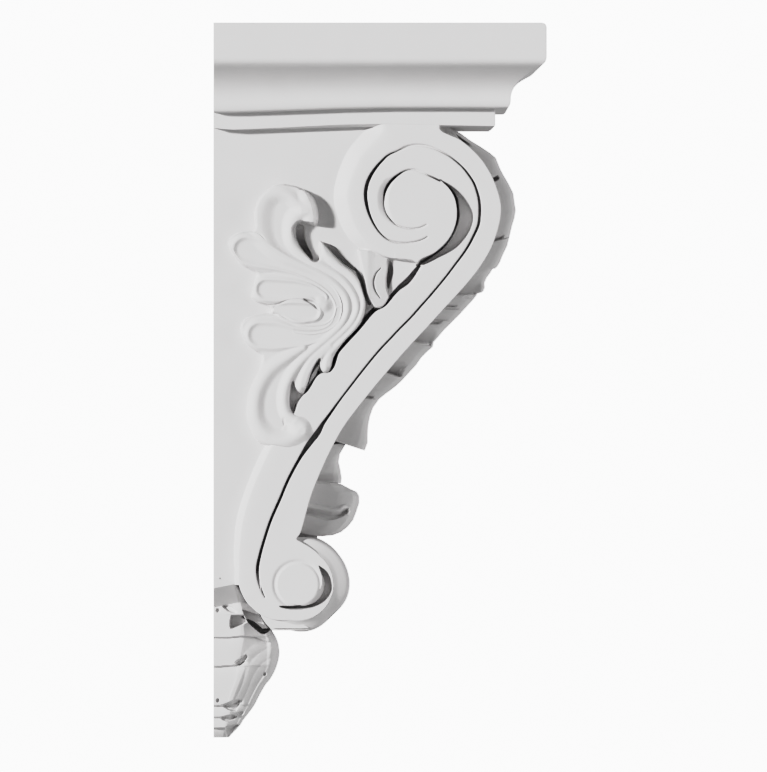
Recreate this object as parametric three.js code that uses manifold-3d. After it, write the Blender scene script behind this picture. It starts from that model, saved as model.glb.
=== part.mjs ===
// A cast urethane corbel: a crown moulding over a scroll plank with two volutes, a leaf carved
// on each side, a leaf down the front, a roll at the foot of the scroll and a fluted pendant.
// It is one casting with a flat back. Millimetres, +Z up, wall plane at y = 0, front towards -Y.
// The plane x = 0 is the plane of symmetry and the origin is at half height on the wall plane.

import * as THREE from 'three';
import Module from 'manifold-3d';

const wasm = await Module();
wasm.setup();

// Overall height, and the widths across the piece
const HEIGHT = 610;
const BODY_WIDTH = 99;
const SCROLL_RELIEF = 11;

// Crown moulding, from its underside up
const FILLET_HEIGHT = 12.8;
const BEAD_STEP = 6.8;
const BEAD_HEIGHT = 8;
const BEAD_REACH = 5;
const COVE_HEIGHT = 26.4;
const COVE_REACH = 25;
const FASCIA_LIP = 4.4;
const FASCIA_REACH = 5;
const FASCIA_HEIGHT = 35.1;
const CORNER_EASE = 1.8;

// Grooves, hollows and raised carving, as depth below or height above the face they start from
const GROOVE_WIDTH = 3.2;
const GROOVE_DEPTH = 8;
const EYE_GAP_WIDTH = 2.6;
const LEAF_RELIEF = 13.5;
const BUTTON_RISE = 1.6;
const ROLL_BULGE = 5;
const ROLL_EDGE = 14;
const FRONT_LEAF_WIDTH = 93;
const PENDANT_WIDTH = 78;
const PENDANT_TIP_WIDTH = 30;
const PENDANT_MIN_DEPTH = 11;
const PENDANT_SIDE_SHARE = 0.38;
const PENDANT_LEVELS = 18;
const FLUTE_COUNT = 7;
const FLUTE_DEPTH = 3.4;
const SINK = 2;

const CROWN_HEIGHT = FILLET_HEIGHT + BEAD_HEIGHT + COVE_HEIGHT + FASCIA_LIP + FASCIA_HEIGHT;
const CROWN_UNDER = HEIGHT / 2 - CROWN_HEIGHT;
const BODY_HALF = BODY_WIDTH / 2;
const SCROLL_HALF = BODY_HALF + SCROLL_RELIEF;

// The carving is free form, drawn on a field of this many units from the crown's underside
// down to the tip. Its points are [out from the wall, down from the crown's underside].
const FIELD = 1005;
const UNIT = (HEIGHT - CROWN_HEIGHT) / FIELD;
const FILLET_DEPTH = 461 * UNIT;

const VOLUTE_CENTRE = [335, 128];
const FOOT_CENTRE = [137, 749];
const ROLL_CENTRE = [145, 749];
const FOOT_RADIUS = 65;
const ROLL_RADIUS = 75;
const BUTTON_RADIUS = 35;
const BUTTON_FOOT = 41;

const FRONT_EDGE = [
  [371, 4], [404, 21], [428, 41], [448, 66], [464, 100], [471, 136], [459, 188],
  [433, 234], [368, 308], [305, 377], [240, 455], [207, 501], [163, 595], [135, 676],
];
// The third value is how far the side wall slopes out from crest to foot.
const VOLUTE_BACK = [
  [278, 7, 25], [240, 54, 25], [220, 111, 23], [224, 136, 22], [233, 161, 21], [248, 185, 16],
  [281, 211, 4], [325, 218, 0],
];
const PLANK_BACK = [
  [342, 226, 0], [322, 259, 0], [281, 295, 0], [215, 357, 0], [171, 418, 0], [138, 450, 0],
  [117, 488, 5], [93, 529, 10], [66, 586, 10], [48, 644, 10], [42, 709, 8], [45, 745, 4],
  [60, 780, 0], [89, 803, 0],
];
const GROOVE = [
  [350, 180], [317, 191], [276, 179], [251, 139], [257, 85], [299, 41], [335, 28], [381, 42],
  [427, 87], [438, 136], [414, 197], [369, 252], [322, 312], [261, 373], [205, 446], [167, 505],
  [135, 555], [100, 626], [77, 691], [70, 727], [75, 752], [84, 770],
];
const EYE_GAP = [
  [371, 88], [352, 74], [327, 67], [303, 74], [287, 92], [279, 112], [278, 130], [284, 147],
  [300, 161], [322, 167], [343, 160],
];
const HOLLOW_OUTER = [
  [371, 86], [396, 103], [412, 120], [423, 144], [420, 165], [410, 182], [396, 198], [342, 226],
];
const HOLLOW_INNER = [[325, 219], [361, 203], [387, 174], [397, 139], [384, 102], [371, 88]];
const FOOT_HOLLOW = [
  [173, 719], [186, 729], [192, 745], [191, 762], [178, 778], [158, 786], [125, 787],
];
const BODY_OUTLINE = [
  [0, -4], [380, -4], [440, 60], [455, 140], [420, 215], [350, 310], [290, 375], [225, 455],
  [190, 505], [150, 595], [130, 660], [140, 750], [0, 750],
];

// Ribs of the side leaf: [out, down, half width in units, share of the leaf's relief]
const SIDE_RIBS = {
  topCurlRim: [
    [160, 148, 5, 0.8], [156, 128, 8, 0.95], [140, 111, 9, 1], [118, 103, 9, 0.9],
    [96, 104, 9, 0.75], [82, 121, 9, 0.7], [78, 146, 9, 0.7], [82, 176, 10, 0.7],
    [104, 208, 10, 0.75], [138, 228, 8, 0.8], [175, 245, 7, 0.8], [205, 266, 7, 0.8],
    [219, 290, 7, 0.8], [214, 316, 7, 0.8], [194, 340, 8, 0.8], [164, 364, 9, 0.8],
    [136, 393, 9, 0.8], [120, 425, 9, 0.8], [121, 455, 8, 0.8], [135, 472, 7, 0.9],
  ],
  topCurlRidge: [
    [150, 142, 5, 0.9], [134, 143, 7, 1], [121, 156, 8, 1], [117, 179, 9, 1],
    [128, 203, 9, 0.95], [153, 220, 8, 0.9], [184, 235, 7, 0.85], [212, 253, 7, 0.85],
    [231, 276, 7, 0.85], [233, 298, 7, 0.85], [222, 321, 7, 0.85], [202, 343, 7, 0.85],
    [176, 366, 7, 0.85], [152, 395, 7, 0.9], [144, 430, 5, 0.7],
  ],
  topCurlFloor: [
    [146, 124, 8, 0.5], [122, 121, 15, 0.5], [100, 138, 18, 0.48], [98, 168, 18, 0.45],
    [114, 200, 16, 0.5], [140, 222, 10, 0.6],
  ],
  lowerCurlFloor: [
    [150, 366, 12, 0.5], [120, 394, 17, 0.45], [102, 428, 18, 0.42], [106, 464, 18, 0.5],
    [128, 486, 12, 0.6],
  ],
  outerStrand: [
    [174, 187, 3, 0.6], [183, 211, 7, 0.75], [206, 232, 7, 0.8], [232, 254, 7, 0.8],
    [245, 280, 7, 0.8], [242, 306, 8, 0.8], [226, 331, 9, 0.85], [205, 354, 9, 0.85],
    [189, 377, 8, 0.9], [186, 400, 4, 0.7],
  ],
  ear: [
    [30, 206, 12, 0.4], [48, 205, 25, 0.55], [72, 208, 26, 0.6], [100, 220, 20, 0.6],
    [135, 235, 14, 0.65], [168, 250, 9, 0.7], [195, 270, 7, 0.7], [205, 293, 7, 0.7],
    [196, 317, 7, 0.7], [168, 332, 6, 0.6],
  ],
  upperLobe: [
    [64, 266, 10, 0.4], [78, 265, 20, 0.6], [110, 265, 22, 0.7], [145, 266, 16, 0.7],
    [175, 274, 10, 0.75], [190, 290, 8, 0.8], [184, 308, 8, 0.8], [162, 316, 8, 0.6],
  ],
  innerTip: [
    [94, 296, 3, 0.3], [112, 298, 10, 0.5], [135, 306, 16, 0.6], [160, 310, 14, 0.6],
    [180, 298, 12, 0.8],
  ],
  middleLobe: [
    [44, 337, 14, 0.4], [62, 337, 28, 0.6], [95, 340, 30, 0.7], [130, 345, 24, 0.7],
    [165, 340, 16, 0.7], [195, 322, 9, 0.7], [210, 298, 6, 0.7],
  ],
  lowerCurlRim: [
    [136, 362, 12, 0.7], [105, 380, 16, 0.7], [82, 408, 16, 0.7], [74, 440, 16, 0.7],
    [78, 472, 17, 0.8], [97, 500, 18, 0.9], [123, 507, 17, 1], [146, 498, 14, 1],
    [152, 482, 9, 0.9],
  ],
  husk: [[266, 219, 16, 0.9], [267, 245, 13, 0.95], [271, 272, 11, 1], [274, 292, 6, 0.6]],
};

// Tiers of the front leaf: the line where a tier grows from the plank, and its outermost line
const LEAF_BODY = {
  root: [
    [381, 8], [428, 41], [464, 100], [471, 136], [459, 188], [433, 234], [368, 308], [305, 377],
    [273, 414],
  ],
  crest: [
    [394, -1], [447, 31], [492, 101], [498, 133], [488, 180], [458, 237], [391, 319], [333, 390],
    [306, 418],
  ],
  stations: 19,
};
const LEAF_FLARE = {
  root: [[284, 400], [253, 437], [227, 472], [207, 501], [214, 524]],
  crest: [[303, 408], [281, 437], [258, 477], [255, 512], [251, 528]],
  stations: 8,
};
const LEAF_TIP = {
  root: [[205, 505], [191, 534], [181, 555], [173, 573], [168, 585]],
  crest: [[233, 502], [212, 534], [207, 550], [212, 574], [210, 587]],
  stations: 7,
};
const LEAF_CURL = {
  root: [[170, 580], [158, 608], [152, 631], [146, 650], [138, 673]],
  crest: [[203, 584], [241, 602], [237, 631], [220, 659], [173, 674]],
  stations: 9,
};
// Across a tier, from edge to edge: [share of the half width, share of the rise]
const TIER_SECTION = [
  [-1, -0.5], [-1, 0.3], [-0.8, 0.85], [-0.55, 0.7], [-0.25, 0.88], [0, 1],
  [0.25, 0.88], [0.55, 0.7], [0.8, 0.85], [1, 0.3], [1, -0.5],
];
const LOBE_NOTCH = 0.16;
const STATIONS_PER_POINT = 1.05;

// Depth of the pendant at even steps from the body's lower edge down to its tip
const PENDANT_DEPTH = [
  [0, 735], [40, 748], [73, 785], [92, 821], [104, 841], [109, 864], [104, 889], [93, 910],
  [77, 934], [67, 953], [53, 971], [41, 989], [25, FIELD],
];

const at = ([out, down]) => [out * UNIT, CROWN_UNDER - down * UNIT];

// Points along a smooth curve through the given points, whatever number of values each has
function smooth(points, count) {
  const pad = (p) => new THREE.Vector3(p[0], p[1], p[2] ?? 0);
  const curve = new THREE.CatmullRomCurve3(points.map(pad), false, 'centripetal');
  return curve.getSpacedPoints(count).map((v) => [v.x, v.y, v.z]);
}

// The same, for points whose third and fourth values run along with the curve
function smoothRib(points, count) {
  const line = smooth(points.map((p) => [p[0], p[1]]), count);
  const size = smooth(points.map((p) => [p[0], p[1], p[2]]), count);
  const rise = smooth(points.map((p) => [p[0], p[1], p[3]]), count);
  return line.map((p, i) => [p[0], p[1], size[i][2], rise[i][2]]);
}

// Unit vector across a line at point i, to the left of its direction
function across(line, i) {
  const a = line[Math.max(i - 1, 0)];
  const b = line[Math.min(i + 1, line.length - 1)];
  const length = Math.hypot(b[0] - a[0], b[1] - a[1]);
  return [(b[1] - a[1]) / length, -(b[0] - a[0]) / length];
}

// A closed solid from rings of equal length, each a list of [x, out, up] in millimetres.
// The end caps are cut into triangles by their outline in the plane given by the two indices.
function skin(rings, capAxes) {
  const size = rings[0].length;
  const flat = rings.flat();
  const triangles = [];
  for (let r = 0; r + 1 < rings.length; r += 1) {
    for (let i = 0; i < size; i += 1) {
      const a = r * size + i;
      const b = r * size + ((i + 1) % size);
      triangles.push([a, b, b + size], [a, b + size, a + size]);
    }
  }
  const lastStart = (rings.length - 1) * size;
  for (const [ring, start, along] of [[rings[0], 0, false], [rings.at(-1), lastStart, true]]) {
    const outline = ring.map((p) => new THREE.Vector2(p[capAxes[0]], p[capAxes[1]]));
    const faces = THREE.ShapeUtils.triangulateShape(outline, []);
    const facesArea = faces.reduce((sum, face) => (
      sum + THREE.ShapeUtils.area(face.map((i) => outline[i]))
    ), 0);
    const followsRing = facesArea * THREE.ShapeUtils.area(outline) > 0;
    for (const [i, j, k] of faces) {
      const corners = [start + i, start + j, start + k];
      triangles.push(followsRing === along ? corners : corners.reverse());
    }
  }
  return solid(flat, triangles);
}

// A manifold from points [x, out, up] and triangles, turned so that its faces point outwards
function solid(points, triangles) {
  let volume = 0;
  for (const [a, b, c] of triangles) {
    const [p, q, r] = [points[a], points[b], points[c]].map((v) => new THREE.Vector3(v[0], -v[1], v[2]));
    volume += p.dot(q.cross(r));
  }
  const turned = volume > 0 ? triangles : triangles.map(([a, b, c]) => [a, c, b]);
  const vertProperties = new Float32Array(points.flatMap(([x, out, up]) => [x, -out, up]));
  const triVerts = new Uint32Array(turned.flat());
  return new wasm.Manifold(new wasm.Mesh({ numProp: 3, vertProperties, triVerts }));
}

// Straight or tapered prism across the piece: outlines of [out, up] at the given x values
function prism(levels) {
  return skin(levels.map(([x, outline]) => outline.map(([out, up]) => [x, out, up])), [1, 2]);
}

// The same form on both sides, from x values given for the right side
function bothSides(build) {
  return build(1).add(build(-1));
}

// A band of even width along a curve, as an outline
function band(points, count, width) {
  const line = smooth(points, count).map(at);
  const left = line.map((p, i) => {
    const n = across(line, i);
    return [p[0] + (n[0] * width) / 2, p[1] + (n[1] * width) / 2];
  });
  const right = line.map((p, i) => {
    const n = across(line, i);
    return [p[0] - (n[0] * width) / 2, p[1] - (n[1] * width) / 2];
  });
  return [...left, ...right.reverse()];
}

// Points on a circle about a centre given in units, from one angle to another in degrees
function arc([out, down], radius, from, to, count) {
  return Array.from({ length: count + 1 }, (_, i) => {
    const a = THREE.MathUtils.degToRad(from + ((to - from) * i) / count);
    return [out + radius * Math.cos(a), down - radius * Math.sin(a)];
  });
}

// Crown: rectangles from the fillet up, mitred round both sides and the front, flat at the back
function crown() {
  const profile = [[-CORNER_EASE, 0], [0, CORNER_EASE], [0, FILLET_HEIGHT], [BEAD_STEP, FILLET_HEIGHT]];
  const beadTop = FILLET_HEIGHT + BEAD_HEIGHT;
  const coveStart = BEAD_STEP + BEAD_REACH;
  profile.push([coveStart - 1, beadTop - BEAD_HEIGHT * 0.45]);
  const steps = 8;
  for (let i = 0; i <= steps; i += 1) {
    const t = ((Math.PI / 2) * i) / steps;
    const rise = (Math.sin(t) + 1 - Math.cos(t)) / 2;
    profile.push([coveStart + COVE_REACH * (1 - Math.cos(t)), beadTop + COVE_HEIGHT * rise]);
  }
  const lip = coveStart + COVE_REACH;
  const under = beadTop + COVE_HEIGHT;
  const face = lip + FASCIA_REACH;
  profile.push([face - CORNER_EASE, under + FASCIA_LIP * 0.45]);
  profile.push([face, under + FASCIA_LIP]);
  profile.push([face, CROWN_HEIGHT - CORNER_EASE / 2]);
  profile.push([face - CORNER_EASE / 2, CROWN_HEIGHT]);
  const rings = profile.map(([reach, up]) => {
    const half = SCROLL_HALF + reach;
    const depth = FILLET_DEPTH + reach;
    return [[-half, 0], [half, 0], [half, depth], [-half, depth]].map(([x, out]) => (
      [x, out, CROWN_UNDER + up]
    ));
  });
  return skin(rings, [0, 1]);
}

// Scroll plank: vertical at the front edge, and sloped from crest to foot where its back says so
function plank() {
  const front = smooth(FRONT_EDGE, 32).map(([o, d]) => [o, d, 0]);
  const foot = arc(FOOT_CENTRE, FOOT_RADIUS, 72, -112, 18).map(([o, d]) => [o, d, 0]);
  const back = smooth(PLANK_BACK, 30).reverse();
  const volute = smooth(VOLUTE_BACK, 18).reverse();
  const inCrown = [[278, -4, 25], [371, -4, 0]];
  const crest = [...front, ...foot, ...back, ...volute, ...inCrown];
  const crestLine = crest.map(at);
  const footLine = crest.map((p, i) => {
    const n = across(crest, i);
    return at([p[0] + n[0] * p[2], p[1] + n[1] * p[2]]);
  });
  return prism([
    [-SCROLL_HALF, crestLine], [-BODY_HALF, footLine], [BODY_HALF, footLine], [SCROLL_HALF, crestLine],
  ]);
}

// What is cut from the plank: the groove, the gap round the volute's eye, and the two hollows
function cutters() {
  const top = SCROLL_HALF + SINK;
  const grooveFloor = SCROLL_HALF - GROOVE_DEPTH;
  const mouth = [[330, 234], [322, 226]];
  const hollow = [...smooth(HOLLOW_OUTER, 12), ...mouth, ...smooth(HOLLOW_INNER, 12)].map(at);
  const rim = arc(FOOT_CENTRE, BUTTON_FOOT - 6, -105, 25, 8);
  const footHollow = [...smooth(FOOT_HOLLOW, 10), ...rim].map(at);
  return bothSides((side) => {
    const cut = (outline, floor) => prism([[side * floor, outline], [side * top, outline]]);
    return cut(band(GROOVE, 66, GROOVE_WIDTH), grooveFloor)
      .add(cut(band(EYE_GAP, 20, EYE_GAP_WIDTH), grooveFloor))
      .add(cut(hollow, BODY_HALF))
      .add(cut(footHollow, BODY_HALF));
  });
}

// A round form about an axis across the piece, from [x, radius] pairs in millimetres
function turned(centre, profile, sides) {
  const [out, up] = at(centre);
  const rings = profile.map(([x, radius]) => Array.from({ length: sides }, (_, i) => {
    const a = (2 * Math.PI * i) / sides;
    return [x, out + radius * Math.cos(a), up + radius * Math.sin(a)];
  }));
  return skin(rings, [1, 2]);
}

// Barrel at the foot of the scroll, which swells beyond the plank's side faces
function roll() {
  const edge = SCROLL_HALF - ROLL_EDGE;
  const full = ROLL_RADIUS * UNIT;
  const shoulder = [
    [SCROLL_HALF - 2.5, full - ROLL_BULGE], [SCROLL_HALF - ROLL_EDGE * 0.55, full - ROLL_BULGE * 0.3],
    [edge, full],
  ];
  const left = shoulder.map(([x, r]) => [-x, r]);
  return turned(ROLL_CENTRE, [...left, ...shoulder.reverse()], 34);
}

// Raised button in the middle of each foot volute
function buttons() {
  return bothSides((side) => turned(FOOT_CENTRE, [
    [side * (BODY_HALF - SINK), BUTTON_FOOT * UNIT],
    [side * (SCROLL_HALF - 0.5), BUTTON_FOOT * UNIT * 0.97],
    [side * (SCROLL_HALF + BUTTON_RISE), BUTTON_RADIUS * UNIT],
  ], 24));
}

// One rib of the side leaf: a rounded strip that follows its line and sinks into the body
function rib(points, side) {
  const count = Math.round(points.length * STATIONS_PER_POINT);
  const line = smoothRib(points, count);
  const section = [[-1, 0], [-0.62, 0.84], [0, 1], [0.62, 0.84], [1, 0]];
  const rings = line.map(([out, down, half, share], i) => {
    const n = across(line, i);
    return section.map(([s, h]) => {
      const [o, u] = at([out + n[0] * half * s, down + n[1] * half * s]);
      const x = h === 0 ? BODY_HALF - SINK : BODY_HALF + LEAF_RELIEF * share * h;
      return [side * x, o, u];
    });
  });
  return ribSkin(rings);
}

// A strip of open sections closed by its flat underside and by fans at both ends
function ribSkin(rings) {
  const size = rings[0].length;
  const triangles = [];
  for (let r = 0; r + 1 < rings.length; r += 1) {
    for (let i = 0; i < size; i += 1) {
      const a = r * size + i;
      const b = r * size + ((i + 1) % size);
      triangles.push([a, b, b + size], [a, b + size, a + size]);
    }
  }
  const last = (rings.length - 1) * size;
  for (let i = 1; i + 1 < size; i += 1) {
    triangles.push([0, i + 1, i], [last, last + i, last + i + 1]);
  }
  return solid(rings.flat(), triangles);
}

function sideLeaves() {
  return bothSides((side) => Object.values(SIDE_RIBS)
    .map((points) => rib(points, side))
    .reduce((all, one) => all.add(one)));
}

// One tier of the front leaf, notched at its edges, between its root line and its crest line
function tier({ root, crest, stations }, halfWidths) {
  const rootLine = smooth(root, stations).map(at);
  const crestLine = smooth(crest, stations).map(at);
  const rings = rootLine.map((r, i) => {
    const c = crestLine[i];
    const notch = i % 3 === 1 ? LOBE_NOTCH : 0;
    const half = THREE.MathUtils.lerp(...halfWidths, i / stations) * (1 - notch);
    return TIER_SECTION.map(([s, share]) => {
      const h = share > 0 ? share * (1 - notch * 1.6 * Math.abs(s)) : share;
      return [s * half, r[0] + (c[0] - r[0]) * h, r[1] + (c[1] - r[1]) * h];
    });
  });
  return ribSkin(rings);
}

function frontLeaf() {
  const half = FRONT_LEAF_WIDTH / 2;
  return tier(LEAF_BODY, [half * 0.9, half])
    .add(tier(LEAF_FLARE, [half, half * 0.62]))
    .add(tier(LEAF_TIP, [half * 0.8, half * 0.5]))
    .add(tier(LEAF_CURL, [half * 0.8, half * 0.9]));
}

// Pendant: sections with flat sides and an arched, fluted front, narrowing to the tip
function pendant() {
  const top = PENDANT_DEPTH[0][1];
  const steps = FLUTE_COUNT * 2;
  const rings = smooth(PENDANT_DEPTH, PENDANT_LEVELS).map(([depth, down]) => {
    const t = (down - top) / (FIELD - top);
    const shoulder = Math.max(0, 1 - t * 6);
    const taper = THREE.MathUtils.lerp(PENDANT_WIDTH, PENDANT_TIP_WIDTH, t ** 2) / 2;
    const half = THREE.MathUtils.lerp(taper, BODY_HALF - 1, shoulder);
    const reach = Math.max(depth * UNIT, PENDANT_MIN_DEPTH);
    const side = reach * PENDANT_SIDE_SHARE;
    const flute = FLUTE_DEPTH * (1 - shoulder) * (1 - t * 0.6);
    const up = CROWN_UNDER - down * UNIT;
    const arch = Array.from({ length: steps + 1 }, (_, i) => {
      const a = (Math.PI * i) / steps;
      const inward = i % 2 === 0 && i > 0 && i < steps ? flute : 0;
      return [(half - inward) * Math.cos(a), side + (reach - side - inward) * Math.sin(a), up];
    });
    return [...arch, [-half, 0, up], [half, 0, up]];
  });
  return skin(rings, [0, 1]);
}

function corbelSolid() {
  const body = prism([[-BODY_HALF, BODY_OUTLINE.map(at)], [BODY_HALF, BODY_OUTLINE.map(at)]]);
  return plank()
    .subtract(cutters())
    .add(body)
    .add(buttons())
    .add(roll())
    .add(sideLeaves())
    .add(frontLeaf())
    .add(pendant())
    .add(crown());
}

function geometryOf(manifold) {
  const mesh = manifold.getMesh();
  const geometry = new THREE.BufferGeometry();
  geometry.setAttribute('position', new THREE.BufferAttribute(mesh.vertProperties, 3));
  geometry.setIndex(new THREE.BufferAttribute(mesh.triVerts, 1));
  geometry.computeVertexNormals();
  return geometry;
}

const primedUrethane = new THREE.MeshStandardMaterial({
  color: 0xd8d8d9,
  roughness: 0.62,
  metalness: 0,
});

const corbel = new THREE.Mesh(geometryOf(corbelSolid()), primedUrethane);
corbel.name = 'corbel';

const part = new THREE.Group();
part.add(corbel);

export default part;
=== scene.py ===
import math

import bpy
import numpy as np
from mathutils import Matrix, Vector


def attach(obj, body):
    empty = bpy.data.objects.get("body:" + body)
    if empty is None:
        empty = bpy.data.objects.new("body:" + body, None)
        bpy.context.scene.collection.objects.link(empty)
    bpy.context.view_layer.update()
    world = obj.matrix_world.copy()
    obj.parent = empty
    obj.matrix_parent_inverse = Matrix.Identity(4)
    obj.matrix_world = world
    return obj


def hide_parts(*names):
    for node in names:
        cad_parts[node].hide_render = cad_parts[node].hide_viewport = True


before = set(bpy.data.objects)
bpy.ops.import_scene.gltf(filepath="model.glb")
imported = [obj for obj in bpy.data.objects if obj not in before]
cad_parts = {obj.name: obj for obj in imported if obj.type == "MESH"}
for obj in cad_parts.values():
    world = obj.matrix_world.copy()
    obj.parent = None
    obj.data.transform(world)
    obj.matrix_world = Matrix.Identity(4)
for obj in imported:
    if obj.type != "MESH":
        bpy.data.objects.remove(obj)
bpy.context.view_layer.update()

# Everything is worked out in millimetres as (x across, out from the wall, up), with the plane
# of symmetry at x = 0, and turned into the frame's metres (x, -out, up) when a mesh is made.
# The carving is drawn in units: (out from the wall, down from the crown's underside).
MM = 0.001
# One half is made and mirrored. Its parts start past the plane of symmetry, and the prisms that
# trim or hollow them end well above the side's surface.
BEHIND = -3.0
TRIM_TOP = 90
HOLLOW_TOP = 70
HEIGHT = 610.0
BODY_HALF = 49.5
SCROLL_HALF = 60.5
FILLET_HEIGHT = 12.8
BEAD_STEP = 6.8
BEAD_HEIGHT = 8.0
BEAD_REACH = 5.9
BEAD_POWER = 0.5
COVE_HEIGHT = 29.4
COVE_REACH = 24.3
COVE_POWER = 2.15
FASCIA_LIP = 7.2
FASCIA_REACH = 4.8
FASCIA_HEIGHT = 29.3
# Radii of the crown's front corner seen from the side and from above
TOP_ROUND = 4.0
CROWN_ROUND = 0.8
CROWN_HEIGHT = FILLET_HEIGHT + BEAD_HEIGHT + COVE_HEIGHT + FASCIA_LIP + FASCIA_HEIGHT
CROWN_UNDER = HEIGHT / 2 - CROWN_HEIGHT
FIELD = 1005
UNIT = (HEIGHT - CROWN_HEIGHT) / FIELD
FILLET_DEPTH = 461 * UNIT
CROWN_REACH = BEAD_STEP + BEAD_REACH + COVE_REACH + FASCIA_REACH
BEAD_TOP = FILLET_HEIGHT + BEAD_HEIGHT
FULL_DEPTH = FILLET_DEPTH + CROWN_REACH
CELL = 0.6
PIECE_TRIANGLES = 190000
SHARP_ANGLE = 38
# Points this near the plane of symmetry are set on it, in metres.
SEAM = 5e-5

# How far the cast crown's fillet bows up at places out from the wall: (out, foot, head) in mm
CROWN_BOW = [
    (0, -0.8, -0.4), (8, -2, -0.8), (16, -2.6, -0.8), (40, -1.7, 0), (74, 0, 1.2), (108, 1.7, 2.4),
    (142, 2.4, 3.1), (190, 1.3, 3.2), (232, 0.6, 3), (241, 0.4, 2.8),
]
HOLLOW_FLOOR = BODY_HALF - 3
PLANK_ROUND = 0.9
# The foot volute and the roll at its end: centres and radii in units
FOOT_CENTRE = (137, 749)
ROLL_CENTRE = (146, 750)
FOOT_RADIUS = 60
FOOT_ARC = (46, -99)
ROLL_RADIUS = 77.5
# The front of the roll is this much less round, about this angle in degrees.
ROLL_DENT = 7
DENT_ANGLE, DENT_WIDTH = 46, 24
# The roll's rings, from barrel to end: share of the way from the volute's circle to the roll's,
# and fall below the volute's face in mm. The last ring is the foot of a cup in the end.
ROLL_RINGS = [
    (1, 12), (0.985, 9.4), (0.94, 7.6), (0.85, 6.2), (0.7, 5), (0.5, 3.8), (0.3, 2.6), (0.15, 1.4),
    (0, 0), (-0.4, 14),
]
BUTTON_RADIUS = 35
BUTTON_FOOT = 37
BUTTON_SHOULDER = 12
BUTTON_FALL = 5
NECK_EASE = 3.5
NECK_HALF = 57.0
# Side leaf: its table's height above the body and rise towards the front in mm, a flute's
# height as a share of its half width up to the widest, a lobe's rim in mm, and their blending
LEAF_LEVEL = 8.6
LEAF_RISE = 1.4
FLUTE = 0.5
FLUTE_WIDEST = 14
LOBE_RIM = 2.1
BLEND = 3
HUSK_EDGE = 283
# Where the pendant's facet ends, as a share of the front's reach and of the half width
FACET_END = 0.72
FACET_HALF = 0.68
# The pendant's cuts, and the levels of its two shaded planes above the plane of symmetry, in mm
LIP_DEPTH = 4.2
SLIT_DEPTH = 4
SPOT_DEPTH = 3.5
SINK_DEPTH = 3.5
RECESS_DEPTH = 10
BAND_LEVEL = 22
WEDGE_LEVEL = 8

# The scroll plank's outline. In its back, the third value is how far the side wall slopes out
# from crest to foot, in units.
FRONT_EDGE = [
    (371, -8), (371, 4), (404, 21), (428, 41), (448, 66), (464, 100), (471, 136), (459, 188),
    (433, 234), (368, 308), (305, 377), (240, 455), (207, 501), (163, 595), (142, 665), (136, 675),
    (141, 678), (155, 686), (168, 695), (177, 705),
]
VOLUTE_BACK = [
    (278, -8, 25), (278, 7, 25), (240, 54, 25), (220, 111, 23), (224, 136, 22), (233, 161, 21),
    (248, 185, 16), (281, 211, 4), (325, 218, 0),
]
PLANK_BACK = [
    (343, 226, 0), (322, 257, 0), (305, 269, 0), (281, 295, 0), (266, 303, 0), (240, 332, 0),
    (215, 359, 0), (206, 370, 0), (202, 382, 0), (198, 393, 0), (190, 402, 0), (177, 404, 0),
    (170, 409, 0), (156, 431, 0), (140, 450, 0), (133, 467, 0), (117, 488, 4.9), (92, 529, 9.8),
    (66, 586, 9.8), (48, 643, 9.8), (42, 693, 8.2), (41, 725, 6.5), (41, 748, 4.9), (46, 763, 3.3),
    (55, 779, 0), (65, 789, 0), (76, 798, 0), (91, 805, 0), (107, 808, 0), (126, 808, 0),
]
# The third value is the full width of the cut in units, the fourth its depth in mm.
GROOVE = [
    (350, 180, 1.6, 1.5), (338, 186, 2.1, 1.6), (317, 190, 2.2, 1.6), (299, 189, 2.2, 2),
    (287, 185, 2.2, 2.5), (276, 177, 2.3, 4), (265, 163, 2.6, 6), (256, 145, 3.4, 10),
    (251, 128, 4.4, 16), (249, 111, 5, 16), (251, 95, 5, 16), (256, 82, 4.6, 16), (264, 69, 3.8, 14),
    (275, 56, 3, 10), (286, 46, 2.6, 6), (299, 40, 2.4, 3), (318, 32, 3.2, 1.3), (338, 30, 3.4, 1.2),
    (358, 34, 3.2, 1.3), (372, 40, 2.4, 2), (385, 47, 2.3, 3), (397, 56, 2.3, 5), (408, 66, 2.4, 6),
    (417, 77, 2.7, 9), (426, 91, 2.9, 9), (431, 104, 3.3, 9), (435, 120, 3.7, 9), (436, 139, 3.9, 9),
    (434, 159, 3.6, 9), (427, 176, 3.2, 9), (414, 200, 2.8, 8), (395, 226, 2.4, 7),
    (379, 247, 2.4, 7), (354, 277, 2.4, 7), (338, 295, 2.4, 7), (322, 313, 2.4, 7),
    (305, 330, 2.4, 7), (289, 347, 2.4, 7), (272, 365, 2.4, 7), (256, 384, 2.4, 7),
    (240, 404, 2.4, 7), (223, 426, 2.4, 7), (207, 447, 2.4, 7), (189, 472, 3.3, 16),
    (179, 486, 5, 16), (171, 500, 8.4, 16), (158, 517, 8, 16), (142, 541, 4.2, 16),
    (122, 578, 3.6, 14), (108, 611, 3.5, 14), (94, 643, 3.4, 14), (83, 676, 3.4, 14),
    (76, 701, 3.8, 16), (72, 722, 4.2, 16), (73, 740, 3.4, 13), (77, 755, 2.2, 6), (84, 770, 1.3, 2),
]
EYE_GAP = [
    (371, 88, 2, 12), (349, 78, 2, 1.2), (328, 70, 2.2, 1.4), (313, 72, 2.2, 3), (304, 77, 2.6, 8),
    (295, 84, 3.6, 14), (287, 93, 4, 16), (281, 105, 3.4, 12), (279, 117, 2.3, 6),
    (279, 129, 1.9, 2.5), (283, 142, 2.1, 2.5), (290, 152, 2.4, 3), (299, 160, 2, 2),
    (312, 165, 2, 1.5), (326, 167, 2, 1.5), (338, 165, 2, 1.2), (349, 160, 1.3, 1),
]
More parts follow.
